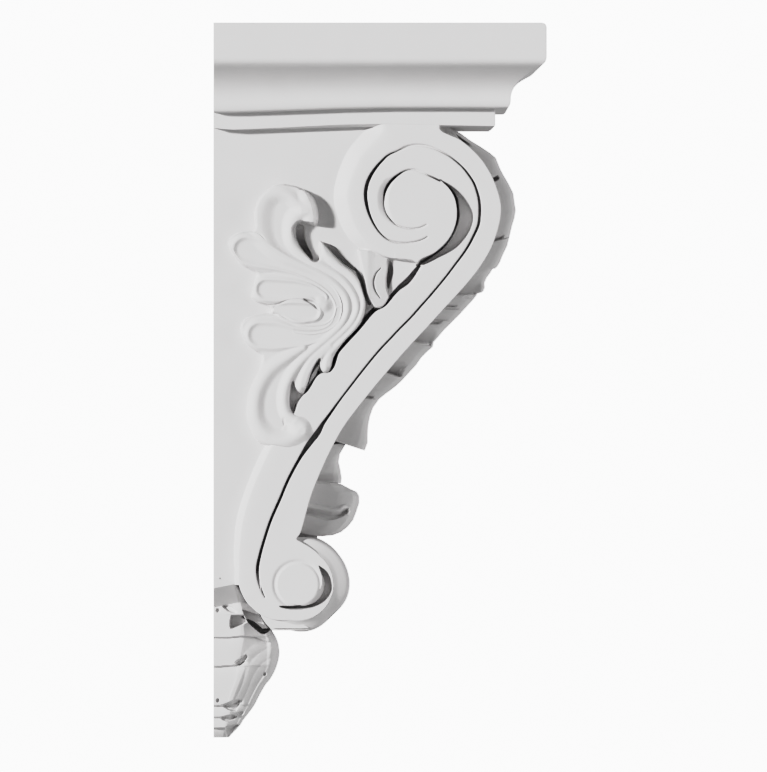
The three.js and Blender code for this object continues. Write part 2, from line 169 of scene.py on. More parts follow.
# Soft dip along the eye's gap: half width in units, depth in mm
SHOULDER = [
    (297, 82, 4, 0.3), (286, 91, 9, 1.6), (279, 105, 10.6, 2.1), (277, 121, 10.6, 2.1),
    (280, 136, 9.8, 1.8), (287, 149, 7.4, 1), (296, 160, 4, 0.2),
]
# Hollows behind the upper volute's eye and beside the foot volute's button
HOLLOW = [
    (371, 86), (396, 101), (414, 119), (426, 143), (423, 164), (412, 183), (396, 199), (370, 213),
    (345, 225), (336, 225), (337, 219), (364, 205), (389, 178), (399, 146), (396, 118), (386, 100),
]
# Dark slot in the hollow along the eye's edge: half width in units, depth in mm
EYE_SLOT = [
    (378, 92, 0.8, 3), (389, 102, 1.4, 10), (397, 115, 1.8, 14), (400, 130, 1.8, 14),
    (401, 145, 1.5, 12), (398, 160, 1.2, 8), (390, 178, 1.1, 5), (378, 194, 1.2, 6),
    (362, 207, 1.4, 8), (346, 218, 1.6, 8), (335, 226, 1.8, 8),
]
# Raised floor in the gap between two tips of the leaf: half width in units, height in mm
GAP_FLOOR = [(172, 390, 1.6, 6), (166, 402, 3.6, 7), (158, 415, 3.2, 7), (152, 426, 1.6, 5)]
FOOT_HOLLOW = [
    (173, 719), (186, 729), (193, 745), (193, 762), (180, 778), (158, 787), (126, 789), (108, 785),
    (126, 785), (146, 782), (160, 775), (172, 763), (178, 750), (178, 736),
]
# The body behind leaf and plank
BODY_OUTLINE = [
    (-6, -8), (380, -8), (440, 60), (455, 140), (420, 215), (350, 310), (290, 375), (225, 455),
    (190, 505), (150, 595), (130, 660), (140, 750), (-6, 750),
]
# Ditch between leaf and plank: half width in units, depth in mm
DITCH = [
    (341, 225, 2.6, 13), (333, 235, 4, 16), (320, 250, 4.1, 16), (307, 262, 4.1, 16),
    (295, 276, 4.6, 16), (283, 289, 4.3, 16), (267, 297, 3.6, 16), (252, 313, 3.9, 16),
    (234, 333, 3.9, 16), (215, 354, 3.8, 16), (204, 368, 3.6, 16), (200, 381, 3.2, 16),
    (197, 392, 2, 12), (193, 400, 1, 4),
]

# The side leaf: its outline, its ridges as (out, down, half width in units, extra height in mm
# where above 0), and its hollowed lobes
LEAF_OUTLINE = [
    (115, 93), (137, 98), (150, 104), (161, 113), (168, 126), (171, 140), (171, 154), (166, 161),
    (155, 158), (143, 155), (135, 158), (129, 167), (131, 178), (137, 190), (145, 201), (155, 212),
    (161, 218), (168, 220), (173, 217), (174, 201), (175, 187), (183, 195), (196, 210), (210, 224),
    (227, 237), (238, 250), (244, 267), (249, 286), (248, 304), (242, 321), (230, 336), (217, 349),
    (206, 363), (200, 372), (196, 381), (193, 394), (188, 402), (180, 402), (175, 396), (173, 388),
    (174, 380), (168, 387), (160, 403), (156, 417), (151, 430), (147, 436), (140, 435), (133, 426),
    (130, 417), (127, 427), (125, 444), (126, 458), (130, 467), (138, 472), (148, 472), (158, 476),
    (171, 486), (165, 503), (151, 522), (135, 524), (120, 526), (104, 523), (86, 521), (73, 514),
    (63, 498), (56, 476), (56, 452), (60, 431), (69, 411), (76, 395), (80, 381), (79, 373), (68, 366),
    (56, 356), (48, 342), (45, 329), (49, 318), (63, 310), (79, 306), (92, 304), (96, 299), (91, 294),
    (81, 290), (71, 286), (63, 278), (65, 265), (69, 250), (72, 242), (68, 237), (60, 233), (48, 226),
    (37, 214), (29, 201), (25, 188), (30, 180), (43, 173), (56, 171), (66, 169), (69, 162), (68, 149),
    (69, 132), (76, 116), (89, 103), (102, 95),
]
RIDGES = {
    "curl head": [(154, 122, 27, 1), (161, 136, 28, 1.4), (160, 150, 25, 1.2)],
    "lower head": [(137, 493, 24.6, 0.8), (147, 499, 22.9, 1)],
    "top curl": [(147, 137, 18, 1.5), (135, 124, 16.4, 0.5), (122, 113, 17, 0), (104, 107, 22, 0),
     (86, 114, 26, 0), (76, 131, 28, 0), (73, 154, 28, 0), (77, 176, 25, 0), (90, 197, 19, 0),
     (111, 213, 15, 0), (140, 226, 12.4, 0), (171, 239, 11.1, 0), (197, 256, 9.8, 0),
     (215, 277, 9.3, 0), (219, 298, 9.3, 0), (212, 319, 9.3, 0), (194, 339, 10.2, 0),
     (169, 360, 11.5, 0), (144, 383, 12.3, 0), (127, 405, 13.1, 0), (117, 429, 13.9, 0),
     (115, 452, 13.9, 0), (120, 470, 13.9, 0.3), (132, 481, 14.7, 0.8)],
    "inner ridge": [(150, 138, 20, 0.6), (140, 143, 21, 0.4), (132, 152, 21, 0), (126, 168, 17, 0),
     (127, 187, 14, 0), (138, 204, 11.5, 0), (158, 219, 10.5, 0), (184, 232, 10.2, 0),
     (210, 249, 9.2, 0), (228, 272, 8, 0), (235, 295, 8, 0), (227, 318, 8.5, 0), (207, 340, 9.5, 0),
     (183, 361, 10.3, 0), (160, 383, 10.6, 0), (147, 408, 10.6, 0), (142, 427, 9.8, 0)],
    "outer strand": [(178, 193, 5.7, -1.4), (184, 208, 9, -0.7), (202, 226, 9.8, -0.6),
     (224, 242, 9.8, -0.6), (238, 261, 8.2, -0.8), (245, 283, 5.9, -1), (241, 309, 6.5, -1),
     (224, 336, 8.8, -0.8), (204, 356, 10.5, -0.4), (188, 375, 10.8, 0), (183, 395, 9, -0.2)],
    "second tip": [(192, 377, 7.4, -1.4), (189, 391, 6.5, -1.4)],
    "first tip": [(191, 360, 9.8, -0.8), (173, 378, 9.8, -0.2), (156, 401, 9.8, 0),
     (148, 424, 8.2, -0.4)],
    "lower curl rim": [(147, 362, 11.5, -1.4), (120, 378, 14.7, -1.4), (92, 398, 18, -1.2),
     (74, 427, 18, -1.1), (68, 455, 18, -1.1), (71, 483, 19.6, -0.8), (88, 506, 21.3, -0.2),
     (114, 513, 21.3, 0.6), (138, 504, 21.3, 1.2), (147, 491, 18, 1.2), (138, 481, 14.7, 0.8)],
    "husk left": [(255, 221, 13.1, -1), (258, 247, 9.8, -0.5), (265, 270, 8.2, -0.5),
     (271, 288, 7.4, -1)],
    "husk right": [(278, 224, 9.8, -0.5), (276, 247, 9.8, 0), (278, 268, 8.2, 0),
     (278, 283, 6.5, -0.5)],
    "eye": [(176, 288, 16.4, -0.1), (181, 291, 16.4, -0.1)],
}
DISHES = {
    "ear": [(53, 201, 31.1), (76, 208, 29.5), (102, 218, 21.3), (130, 229, 14.7), (158, 242, 12.3),
     (183, 258, 9.8), (198, 275, 8.2), (205, 295, 7.2), (201, 313, 7.5), (186, 327, 8.2),
     (160, 332, 9.8), (135, 331, 8.2)],
    "upper lobe": [(86, 266, 24.6), (110, 267, 24.6), (138, 267, 19.6), (161, 271, 14.7),
     (176, 280, 13.1)],
    "middle tip": [(102, 298, 9.8), (122, 301, 19.6), (142, 303, 22.9), (161, 303, 19.6)],
    "middle lobe": [(76, 340, 29.5), (102, 341, 29.5), (132, 344, 21.3), (160, 343, 15.6),
     (183, 336, 10.6), (198, 322, 7.9), (205, 299, 6.9)],
}
# Cut in the leaf's eye: the third value is half its width, in units.
COMMA = [(148, 282, 0.8), (156, 286, 1.6), (164, 290, 3.3), (169, 295, 3), (172, 299, 0.8)]
# Pits in the body between its forms: half width in units, depth in mm
PITS = [
    [(142, 166, 7, 5), (142, 178, 6.5, 8), (147, 192, 5, 12), (155, 205, 3.3, 14), (161, 215, 1.6, 7)],
    [(182, 191, 1.5, 2), (196, 200, 4.5, 6), (207, 212, 3.6, 7), (219, 223, 2.8, 7),
     (233, 234, 1.5, 4)],
    [(290, 222, 1.6, 5), (290, 234, 4, 10), (288, 248, 3.4, 10), (286, 262, 1.3, 5)],
    [(232, 231, 1.3, 2), (240, 245, 2.6, 9), (245, 262, 2.5, 9), (250, 276, 2.3, 7),
     (256, 288, 2.6, 4)],
    [(172, 401, 1.5, 8), (170, 413, 1.6, 12), (161, 425, 1.7, 12), (153, 433, 1.4, 8)],
    [(136, 455, 1.3, 4), (136, 462, 2.3, 9), (135, 465, 1.3, 4)],
]
# Fine creases in the leaf: half width in units, depth in mm
CREASES = [
    [(79, 291, 2.3, 2.4), (96, 292, 2.3, 2.7), (106, 290, 2.3, 2.4), (114, 286, 2, 1.5),
     (129, 282, 1.6, 0.8), (142, 281, 1.3, 0.6)],
    [(60, 311, 2.6, 1.2), (79, 307, 3, 1.5), (96, 306, 3, 1.8), (109, 308, 2.6, 1.7),
     (119, 313, 2.3, 1.2), (130, 318, 1.6, 0.4)],
    [(53, 231, 2, 0.9), (68, 237, 2.3, 1.5), (83, 239, 2, 1.2), (101, 238, 1.6, 0.4)],
    [(58, 171, 1.8, 1.2), (69, 172, 2.1, 1.5), (78, 177, 2, 1.2), (84, 184, 1.3, 0.4)],
    [(115, 478, 3.3, 1.0), (116, 488, 3.3, 1.0)],
]
# Line from which the leaf's curl falls away, and the width of the fall in units
CURL_WALL = [
    (140, 101, 1), (149, 104, 3), (160, 113, 7), (168, 126, 8.6), (171, 140, 8.6), (171, 154, 8),
    (165, 161, 6), (154, 158, 3.5), (143, 155, 1),
]
# The husk under the volute, and the slit in it with half its width
HUSK_OUTLINE = [
    (237, 201), (242, 227), (247, 250), (251, 273), (258, 288), (265, 296), (274, 296), (283, 288),
    (288, 277), (285, 266), (284, 257), (284, 246), (286, 234), (286, 221), (286, 201),
]
HUSK_SLIT = [(274, 231, 0.5), (266, 240, 1.3), (262, 254, 1.6), (265, 268, 1.3), (273, 280, 0.5)]

# The front leaf: where each tier grows from the plank, and its outermost line
LEAF_ROOT = [
    (364, 7), (387, 11), (403, 21), (420, 33), (436, 47), (448, 62), (457, 79), (464, 90), (471, 110),
    (474, 128), (474, 141), (472, 160), (467, 182), (459, 201), (448, 221), (433, 239), (420, 254),
    (403, 273), (387, 291), (371, 309), (354, 326), (338, 344), (328, 354), (305, 378), (282, 403),
    (266, 422), (250, 445), (233, 468), (217, 493), (204, 516),
]
LEAF_CREST = [
    (378, -8), (394, 1), (408, 7), (424, 19), (441, 29), (457, 39), (467, 47), (472, 60), (474, 65),
    (480, 77), (488, 90), (496, 105), (498, 120), (500, 133), (498, 146), (494, 159), (490, 176),
    (486, 192), (478, 209), (474, 219), (470, 226), (466, 230), (462, 230), (458, 237), (452, 245),
    (448, 254), (449, 261), (446, 268), (442, 270), (437, 271), (434, 276), (429, 282), (419, 293),
    (407, 306), (394, 319), (381, 332), (371, 344), (364, 352), (363, 359), (359, 363), (356, 365),
    (344, 377), (335, 390), (321, 405), (311, 416), (301, 425), (292, 432), (285, 437), (274, 446),
    (264, 460), (259, 474), (256, 489), (255, 505), (255, 518), (250, 531),
]
TIP_ROOT = [(209, 509), (195, 532), (184, 552), (174, 568), (168, 583)]
TIP_CREST = [(229, 507), (217, 523), (209, 537), (207, 550), (210, 563), (212, 576), (211, 585)]
CURL_ROOT = [(169, 580), (161, 598), (155, 616), (148, 634), (143, 652), (140, 665)]
CURL_CREST = [
    (211, 586), (226, 594), (237, 599), (241, 606), (241, 618), (236, 633), (231, 646), (222, 657),
    (211, 666), (198, 671), (179, 673),
]
# Scoops at the ends of the front leaf's side lobes: (from, to, length up the leaf, depth in mm)
SCOOPS = [
    ((404, 273), (424, 281), 46, 9),
    ((383, 298), (393, 294), 13, 6),
    ((362, 317), (366, 322), 13, 6),
    ((330, 351), (353, 357), 28, 9),
    ((284, 402), (301, 408), 28, 9),
    ((250, 445), (258, 444), 11, 5),
    ((204, 516), (250, 531), 52, 7),
    ((170, 583), (209, 583), 18, 6),
    ((466, 185), (474, 182), 13, 4),
]
# Deep slots at the front leaf's root and spots beside them: half width in units, depth in mm
SLOTS = [
    [(377, 2, 2.6, 9), (393, 13, 3, 13), (410, 24, 3, 13), (432, 43, 2.6, 11), (446, 60, 1.4, 5),
     (456, 76, 0.8, 1)],
    [(462, 80, 1.8, 9), (467, 83, 1.6, 9)],
    [(194, 527, 1.4, 9), (194, 533, 1.4, 9)],
]
# Raised lip and groove on the curl's side: half width in units
CURL_LIP = [
    (158, 593, 4.1), (162, 611, 4.9), (171, 623, 4.9), (185, 629, 4.9), (204, 630, 4.9),
    (217, 624, 4.1), (224, 628, 3.3), (226, 636, 3.3),
]
CURL_GROOVE = [(142, 632, 11.5), (160, 636, 8.5), (183, 638, 5.5), (204, 636, 4.1), (219, 629, 3)]
# Web in the shade between the curl and the roll
WEB = [(126, 645), (150, 655), (171, 662), (171, 675), (160, 684), (126, 690)]
WEB_HALF = 26.0
FRONT_LEAF_HALF = 46.5
# Section of the front leaf from its middle out: (share of the half width, share of its height).
# Its last height, at the margin's foot, is given for each tier.
TIER_SECTION = [
    (0, 1), (0.04, 0.99), (0.1, 0.93), (0.3, 0.88), (0.55, 0.74), (0.72, 0.84), (0.86, 0.86),
    (0.95, 0.66),
]

# The neck between roll and pendant
NECK = [(73, 789), (117, 802), (142, 812), (156, 820), (142, 821), (96, 821), (86, 814), (79, 804)]

# The pendant's front line
PENDANT_DEPTH = [
    (1, 738), (40, 748), (64, 765), (73, 785), (83, 805), (92, 821), (97, 829), (104, 841),
    (108, 854), (109, 867), (107, 879), (102, 894), (93, 910), (87, 917), (77, 934), (67, 953),
    (56, 968), (49, 977), (45, 984), (38, 992), (30, 1000), (25, 1006),
]
# Half width in mm, and how far out its flat side runs in units, by distance down
PENDANT_HALF = [
    (735, 50.4), (755, 50), (788, 32), (797, 35), (812, 37.2), (836, 38), (838, 37), (884, 33.5),
    (887, 32), (949, 26), (952, 24.5), (968, 23), (971, 21.5), (987, 19.5), (990, 16), (1006, 5),
]
PENDANT_FLAT = [
    (735, 30), (800, 45), (840, 43), (872, 34), (888, 44), (905, 38), (940, 26), (955, 24), (985, 18),
    (1006, 14),
]
# Raised sweeps on the pendant, the last its rim: (out, down, half width in units, height in mm)
PENDANT_SWEEPS = [
    [(96, 844, 7.4, 0.46), (80, 852, 7.4, 0.46), (63, 862, 7.4, 0.46), (52, 875, 7.4, 0.46),
     (45, 890, 7.4, 0.43), (42, 908, 6.5, 0.4), (35, 926, 6.5, 0.4), (29, 941, 5.7, 0.33)],
    [(103, 859, 6.5, 0.4), (86, 867, 7.4, 0.46), (71, 879, 7.4, 0.46), (62, 894, 7.4, 0.46),
     (55, 912, 6.5, 0.43), (47, 931, 6.5, 0.4), (37, 948, 5.7, 0.33)],
    [(98, 879, 6.5, 0.4), (83, 889, 7.4, 0.46), (71, 903, 7.4, 0.46), (63, 922, 6.5, 0.43),
     (55, 940, 6.5, 0.4), (43, 959, 5.7, 0.33)],
    [(90, 903, 6.5, 0.4), (80, 918, 7.4, 0.46), (70, 935, 6.5, 0.46), (60, 951, 6.5, 0.4),
     (48, 969, 5.7, 0.33)],
    [(90, 826, 4.9, 0.33), (101, 841, 5.7, 0.5), (106, 857, 5.7, 0.53), (106, 874, 5.7, 0.53),
     (101, 889, 5.7, 0.5), (91, 907, 5.7, 0.4)],
]
# Parts of the pendant's side in the shade of the volute and under its rim, and the cuts in it
WEDGE = [
    (53, 808), (60, 810), (71, 815), (81, 824), (93, 824), (90, 829), (81, 833), (70, 826), (58, 815),
]
BAND = [(47, 792), (73, 801), (86, 810), (98, 825), (83, 825), (71, 814), (55, 809)]
RECESS = [(29, 802), (48, 802), (54, 812), (37, 820), (28, 822), (27, 812)]
# The third value is half the slit's width, and the radius of a spot, in units.
SLIT = [(17, 787, 1.6), (25, 790, 4.1), (35, 795, 2.5)]
SPOTS = [(7, 793, 3), (7, 942, 2.8), (49, 804, 2.1), (84, 899, 2.6)]
# Flats sunk into the pendant's side under its lips
SINKS = [
    [(35, 879), (53, 866), (56, 870), (47, 882), (38, 883)],
    [(12, 950), (43, 941), (37, 959), (24, 957)],
    [(11, 970), (30, 966), (38, 970), (26, 976), (15, 975)],
    [(20, 986), (42, 983), (33, 991), (29, 1004), (22, 1004)],
]
# Lips of the pendant's tiers, from the top down
PENDANT_TIERS = [
    [(-1, 837), (20, 837), (47, 834), (70, 837), (89, 845)],
    [(-1, 886), (14, 884), (30, 883), (43, 881), (50, 876)],
    [(-1, 951), (15, 950), (30, 947), (43, 941)],
    [(-1, 970), (14, 970), (30, 966), (45, 960)],
    [(-1, 989), (17, 987), (34, 984), (47, 980)],
]

# The studio: light met and tone shown, strengths of the surround, lamps as (name, direction of
# travel, strength, angle in degrees), and the camera in metres and pixels
TONE_POINTS = [(0.08, 0.045), (0.2, 0.17), (0.4, 0.4), (0.62, 0.63), (0.8, 0.70), (1.1, 0.76)]
TONE_END = (3.0, 0.98)
WORLD_SEEN = 2.8
WORLD_LIGHT = 0.155
LAMPS = [("key", (1.0, -1.3, -0.35), 3.75, 6), ("fill", (0.22, 1.0, -0.05), 1.4, 40)]
FLOOR_RADIUS = 3
FLOOR_LEVEL = -0.75
LENS = 316.6
IMAGE_WIDTH = 767
WALL_PX = 213.6
CAMERA_PLACE = (-5.8106, 0.0, -0.0025)


def smooth(points, steps=8):
    """Points along a curve through the given rows.

    Each span is a centripetal Catmull-Rom piece: three straight blends of neighbouring points,
    two blends of those and one of the two, each by the share of its knots' interval.
    """
    p = np.asarray(points, float)
    p = np.vstack([2 * p[0] - p[1], p, 2 * p[-1] - p[-2]])
    t = np.concatenate([[0], np.cumsum(np.linalg.norm(np.diff(p[:, :2], axis=0), axis=1) ** 0.5)])
    spans = []
    for i in range(1, len(p) - 2):
        u = np.linspace(t[i], t[i + 1], steps, endpoint=False)[:, None]

        def blend(a, b, ta, tb):
            return ((tb - u) * a + (u - ta) * b) / (tb - ta)

        a1 = blend(p[i - 1], p[i], t[i - 1], t[i])
        a2 = blend(p[i], p[i + 1], t[i], t[i + 1])
        a3 = blend(p[i + 1], p[i + 2], t[i + 1], t[i + 2])
        b1, b2 = blend(a1, a2, t[i - 1], t[i + 1]), blend(a2, a3, t[i], t[i + 2])
        spans.append(blend(b1, b2, t[i], t[i + 1]))
    spans.append(p[-2:-1])
    return np.vstack(spans)


def by_length(points, count):
    """Rows at even distances along straight pieces through the given points."""
    line = np.asarray(points, float)
    run = np.concatenate([[0], np.cumsum(np.linalg.norm(np.diff(line[:, :2], axis=0), axis=1))])
    want = np.linspace(0, run[-1], count)
    return np.stack([np.interp(want, run, line[:, k]) for k in range(line.shape[1])], axis=1)


def at(points):
    """Millimetres (out, up) of points given in units as (out, down)."""
    p = np.asarray(points, float)
    return np.stack([p[:, 0] * UNIT, CROWN_UNDER - p[:, 1] * UNIT], axis=1)


def ease(t):
    """Smooth step: 0 below 0, 1 above 1, and 3t² - 2t³ between."""
    t = np.clip(t, 0, 1)
    return t * t * (3 - 2 * t)


def nearest(o, d, line):
    """Distance from every point (o, d) to a polyline, and each of its further columns there.

    For each segment the foot of the perpendicular is clamped to its ends, and the segment
    with the least distance gives the values.
    """
    best = np.full(o.shape, 1e9)
    extra = np.zeros(o.shape + (line.shape[1] - 2,))
    for a, b in zip(line[:-1], line[1:]):
        step = b[:2] - a[:2]
        share = np.clip(((o - a[0]) * step[0] + (d - a[1]) * step[1]) / (step @ step), 0, 1)
        far = np.hypot(o - a[0] - share * step[0], d - a[1] - share * step[1])
        hit = far < best
        best = np.where(hit, far, best)
        extra = np.where(hit[..., None], a[2:] + share[..., None] * (b[2:] - a[2:]), extra)
    return best, *np.moveaxis(extra, -1, 0)


def inside(o, d, outline):
    """True at points within a closed outline, by counting crossings along out."""
    odd = np.zeros(o.shape, bool)
    for a, b in zip(outline, np.roll(outline, -1, axis=0)):
        if a[1] != b[1]:
            crosses = (a[1] > d) != (b[1] > d)
            odd ^= crosses & (o < a[0] + (d - a[1]) * (b[0] - a[0]) / (b[1] - a[1]))
    return odd


def depth_inside(o, d, outline, steps=6):
    """Distance into a closed smooth outline, in units; negative outside it."""
    line = smooth(list(outline) + list(outline[:1]), steps)[:, :2]
    far, = nearest(o, d, line)
    return np.where(inside(o, d, line[:-1]), far, -far)


def cut(o, d, points):
    """Depth of a cut with soft edges along rows of (out, down, half width, depth).

    It is full to 1 unit inside the half width and is eased away over the next 2 units.
    """
    far, half, depth = nearest(o, d, smooth(points, 6))
    return depth * ease((half + 1 - far) / 2)


def dome(far, half):
    """Rounded rib across a line: (1 - q^2)^0.6, with q the share of the half width."""
    return np.clip(1 - (far / half) ** 2, 0, 1) ** 0.6


class Field:
    """Grid of units over the side of the piece, with the surface's height at every point."""

    def __init__(self, out_range, down_range, cell, height):
        self.out_axis = np.arange(out_range[0], out_range[1] + cell, cell)
        self.down_axis = np.arange(down_range[0], down_range[1] + cell, cell)
        self.height = np.full((len(self.down_axis), len(self.out_axis)), height)

    def window(self, line, margin):
        """Slices of the grid round the line with a margin, and out and down there."""
        def span(axis, values):
            low, high = np.searchsorted(axis, [values.min() - margin, values.max() + margin])
            return slice(max(low - 1, 0), high + 1)
        where = span(self.down_axis, line[:, 1]), span(self.out_axis, line[:, 0])
        return where, *np.meshgrid(self.out_axis[where[1]], self.down_axis[where[0]])


def groove_drop(distance, width, depth):
    """Depth of a cast groove: walls 0.7 mm wide, and a lip rounded over 1.5 mm and 0.7 mm low."""
    past = distance - width / 2
    return depth * (1 - ease((past + 0.45) / 0.7)) + 0.7 * np.clip(1 - past / 1.5, 0, 1) ** 2


def leaf_height(field):
    """Height of the side leaf above the body, and its window of the grid.

    A table with a rounded edge. Each strand on it is a flute, a squared cosine across, and
    each lobe has a low rim; they are blended as the root of the sum of their powers. The
    curl's right side falls in a slope, and the comma, slit and creases are cut in.
    """
    where, o, d = field.window(np.array(LEAF_OUTLINE + HUSK_OUTLINE, float), 6)
    flutes = np.zeros(o.shape)
    for points in DISHES.values():
        far, half = nearest(o, d, smooth(points, 5))
        rim = LOBE_RIM * np.minimum(half / 22, 1) * np.exp(-((far / half - 0.7) / 0.17) ** 2)
        flutes += (rim + 0.5 * ease((1 - far / half) / 0.3)) ** BLEND
    for points in RIDGES.values():
        far, half, rise = nearest(o, d, smooth(points, 5))
        peak = FLUTE * np.minimum(half, FLUTE_WIDEST) * UNIT + np.clip(rise, 0, None)
        flutes += (peak * np.cos(np.pi / 2 * np.clip(far / half, 0, 1)) ** 2) ** BLEND
    relief = LEAF_LEVEL + LEAF_RISE * ease((o - 50) / 100) + flutes ** (1 / BLEND)
    far, width = nearest(o, d, smooth(CURL_WALL, 5))
    relief = np.minimum(relief, 4 + 11.5 * np.clip(far / width, 0, 1))
    husk = depth_inside(o, d, HUSK_OUTLINE)
    fold = 4.5 + 2 * np.clip((HUSK_EDGE - o) / 21, 0, 1) + 1.5 * ease((264 - o) / 14)
    relief = np.where(husk > -1, np.minimum(relief, fold), relief)
    for points, depth in ((COMMA, 3.5), (HUSK_SLIT, 3)):
        far, half = nearest(o, d, smooth(points, 5))
        relief = relief - depth * ease((half + 1 - far) / 2.4)
    for points in CREASES:
        far, half, depth = nearest(o, d, smooth(points, 5))
        relief = relief - depth * (1 - ease(far / half))
    edge = np.maximum(depth_inside(o, d, LEAF_OUTLINE), husk) * UNIT
    return where, relief * np.clip(1 - np.clip(1 - (edge + 0.3) / 1.7, 0, 1) ** 2.2, 0, 1)


def carve(field, points, low, high, way=-1):
    """Cuts along the points, or raises with way 1, where the surface is between two levels."""
    where, o, d = field.window(smooth(points, 6), 14)
    height = field.height[where]
    field.height[where] = height + way * cut(o, d, points) * ((height > low) & (height < high))


def cut_body(field):
    """Cuts ditch and pits into the body, not into what stands on it, and raises the gap's floor."""
    for points in [DITCH] + PITS:
        carve(field, points, 0, BODY_HALF + 1)
    carve(field, GAP_FLOOR, BODY_HALF - 1, BODY_HALF + 1, 1)


def raise_plank(field):
    """Adds the scroll plank: a flat face with a rounded edge, and a sloped or steep back.

    The slope falls as the 1.4th power of the way down it, and its crest is softened by an
    exponential; elsewhere the edge is a quarter circle and the wall an ease under 1 mm wide.
    """
    height = field.height
    crest = plank_outline()
    where, o, d = field.window(crest, 30)
    far, slope = nearest(o, d, np.vstack([crest, crest[:1]]))
    within = inside(o, d, crest[:, :2])
    sloped = slope > 2
    run = far * UNIT / np.maximum(slope * UNIT, PLANK_ROUND)
    fall = np.where(sloped, np.clip(run, 0, 1) ** 1.4, ease(run))
    inset = np.clip(far * UNIT, 0, PLANK_ROUND)
    rounded = PLANK_ROUND - np.sqrt(PLANK_ROUND ** 2 - (PLANK_ROUND - inset) ** 2)
    soft = np.where(sloped, 0.8 * np.exp(-far * UNIT / 3.5), rounded)
    top = SCROLL_HALF - np.where(sloped, 0.8, PLANK_ROUND)
    plank = np.where(within, SCROLL_HALF - soft, top - (top - BODY_HALF) * fall)
    height[where] = np.maximum(height[where], np.where(within | (run < 1), plank, 0))


def cut_plank(field):
    """Cuts the soft dip, the grooves, the hollows and the slot along the eye into the plank."""
    height = field.height
    for points in (SHOULDER, GROOVE, EYE_GAP):
        line = smooth(points, 8)
        where, o, d = field.window(line, 12)
        far, width, depth = nearest(o, d, line)
        if points is SHOULDER:
            height[where] -= depth * (1 - ease(far / width))
        else:
            drop = groove_drop(far * UNIT, width * UNIT, depth)
            height[where] -= drop * (height[where] > SCROLL_HALF - 5)
    for outline in (HOLLOW, FOOT_HOLLOW):
        where, o, d = field.window(np.array(outline, float), 8)
        edge = -depth_inside(o, d, outline) * UNIT
        floor = HOLLOW_FLOOR + (SCROLL_HALF - HOLLOW_FLOOR) * ease(edge + 0.5)
        height[where] = np.minimum(height[where], floor)
    carve(field, EYE_SLOT, 0, SCROLL_HALF - 3)


def raise_button(field):
    """Adds the foot volute's button, with a flank that widens to the right and a moat round it."""
    height = field.height
    where, o, d = field.window(np.array([FOOT_CENTRE], float), 60)
    far = np.hypot(o - FOOT_CENTRE[0], d - FOOT_CENTRE[1])
    right = (o - FOOT_CENTRE[0]) / np.maximum(far, 1)
    shoulder = BUTTON_RADIUS - 2 + BUTTON_SHOULDER * np.clip(right, 0, 1)
    flank = BUTTON_FALL * np.clip((far - BUTTON_RADIUS + 2) / BUTTON_SHOULDER, 0, 1) ** 1.3
    button = np.where(far < shoulder, SCROLL_HALF - flank, 0)
    moat = 1.3 * np.exp(-((far - BUTTON_FOOT) / 3.3) ** 2) * (height[where] > SCROLL_HALF - 2.5)
    height[where] = np.maximum(height[where] - moat, button)


def side_height():
    """Height of the side surface above the plane of symmetry over a grid of units."""
    field = Field((-6, 478), (-8, 818), CELL / UNIT, BODY_HALF)
    where, leaf = leaf_height(field)
    field.height[where] += leaf
    for step in (cut_body, raise_plank, cut_plank, raise_button):
        step(field)
    return field


def plank_outline():
    """Closed outline of the scroll plank in units, with the slope width as third column."""
    def flat(points):
        return np.column_stack([points, np.zeros(len(points))])
    a = np.radians(np.linspace(*FOOT_ARC, 60))
    out, down = FOOT_CENTRE[0] + FOOT_RADIUS * np.cos(a), FOOT_CENTRE[1] - FOOT_RADIUS * np.sin(a)
    foot = np.column_stack([out, down])
    back, volute = smooth(PLANK_BACK, 8)[::-1], smooth(VOLUTE_BACK, 8)[::-1]
    return np.vstack([flat(smooth(FRONT_EDGE, 8)), flat(foot), back, volute])


def mesh_object(name, place, faces):
    """Mesh object at the origin from metres in the frame's axes."""
    mesh = bpy.data.meshes.new(name)
    mesh.from_pydata(place, [], faces)
    made = bpy.data.objects.new(name, mesh)
    bpy.context.scene.collection.objects.link(made)
    return made


def solid(name, points, faces):
    """Mesh object from (x, out, up) in millimetres, with its triangles turned outwards.

    They are turned when the volume, the sum of corner . (corner x corner), is negative.
    """
    place = np.asarray(points, float) * (MM, -MM, MM)
    a, b, c = (place[faces[:, k]] for k in range(3))
    if np.einsum("ij,ij->i", a, np.cross(b, c)).sum() < 0:
        faces = faces[:, ::-1]
    return mesh_object(name, place, faces)


def pairs(a, b, c, d):
    """Two triangles for each four corners, given as four equal arrays."""
    a, b, c, d = a.ravel(), b.ravel(), c.ravel(), d.ravel()
    return np.vstack([np.column_stack([a, b, c]), np.column_stack([a, c, d])])


def loft(name, rings):
    """Closed solid through equal rings of points, each end closed by a fan to its mean point."""
    rings = np.asarray(rings, float)
    count, size, _ = rings.shape
    index = np.arange(count * size).reshape(count, size)
    turn = np.roll(index, -1, axis=1)
    low, high = np.full(size, count * size), np.full(size, count * size + 1)
    faces = np.vstack([
        pairs(index[:-1], turn[:-1], turn[1:], index[1:]),
        np.column_stack([turn[0], index[0], low]), np.column_stack([index[-1], turn[-1], high]),
    ])
    points = np.vstack([rings.reshape(-1, 3), rings[0].mean(axis=0), rings[-1].mean(axis=0)])
    return solid(name, points, faces)


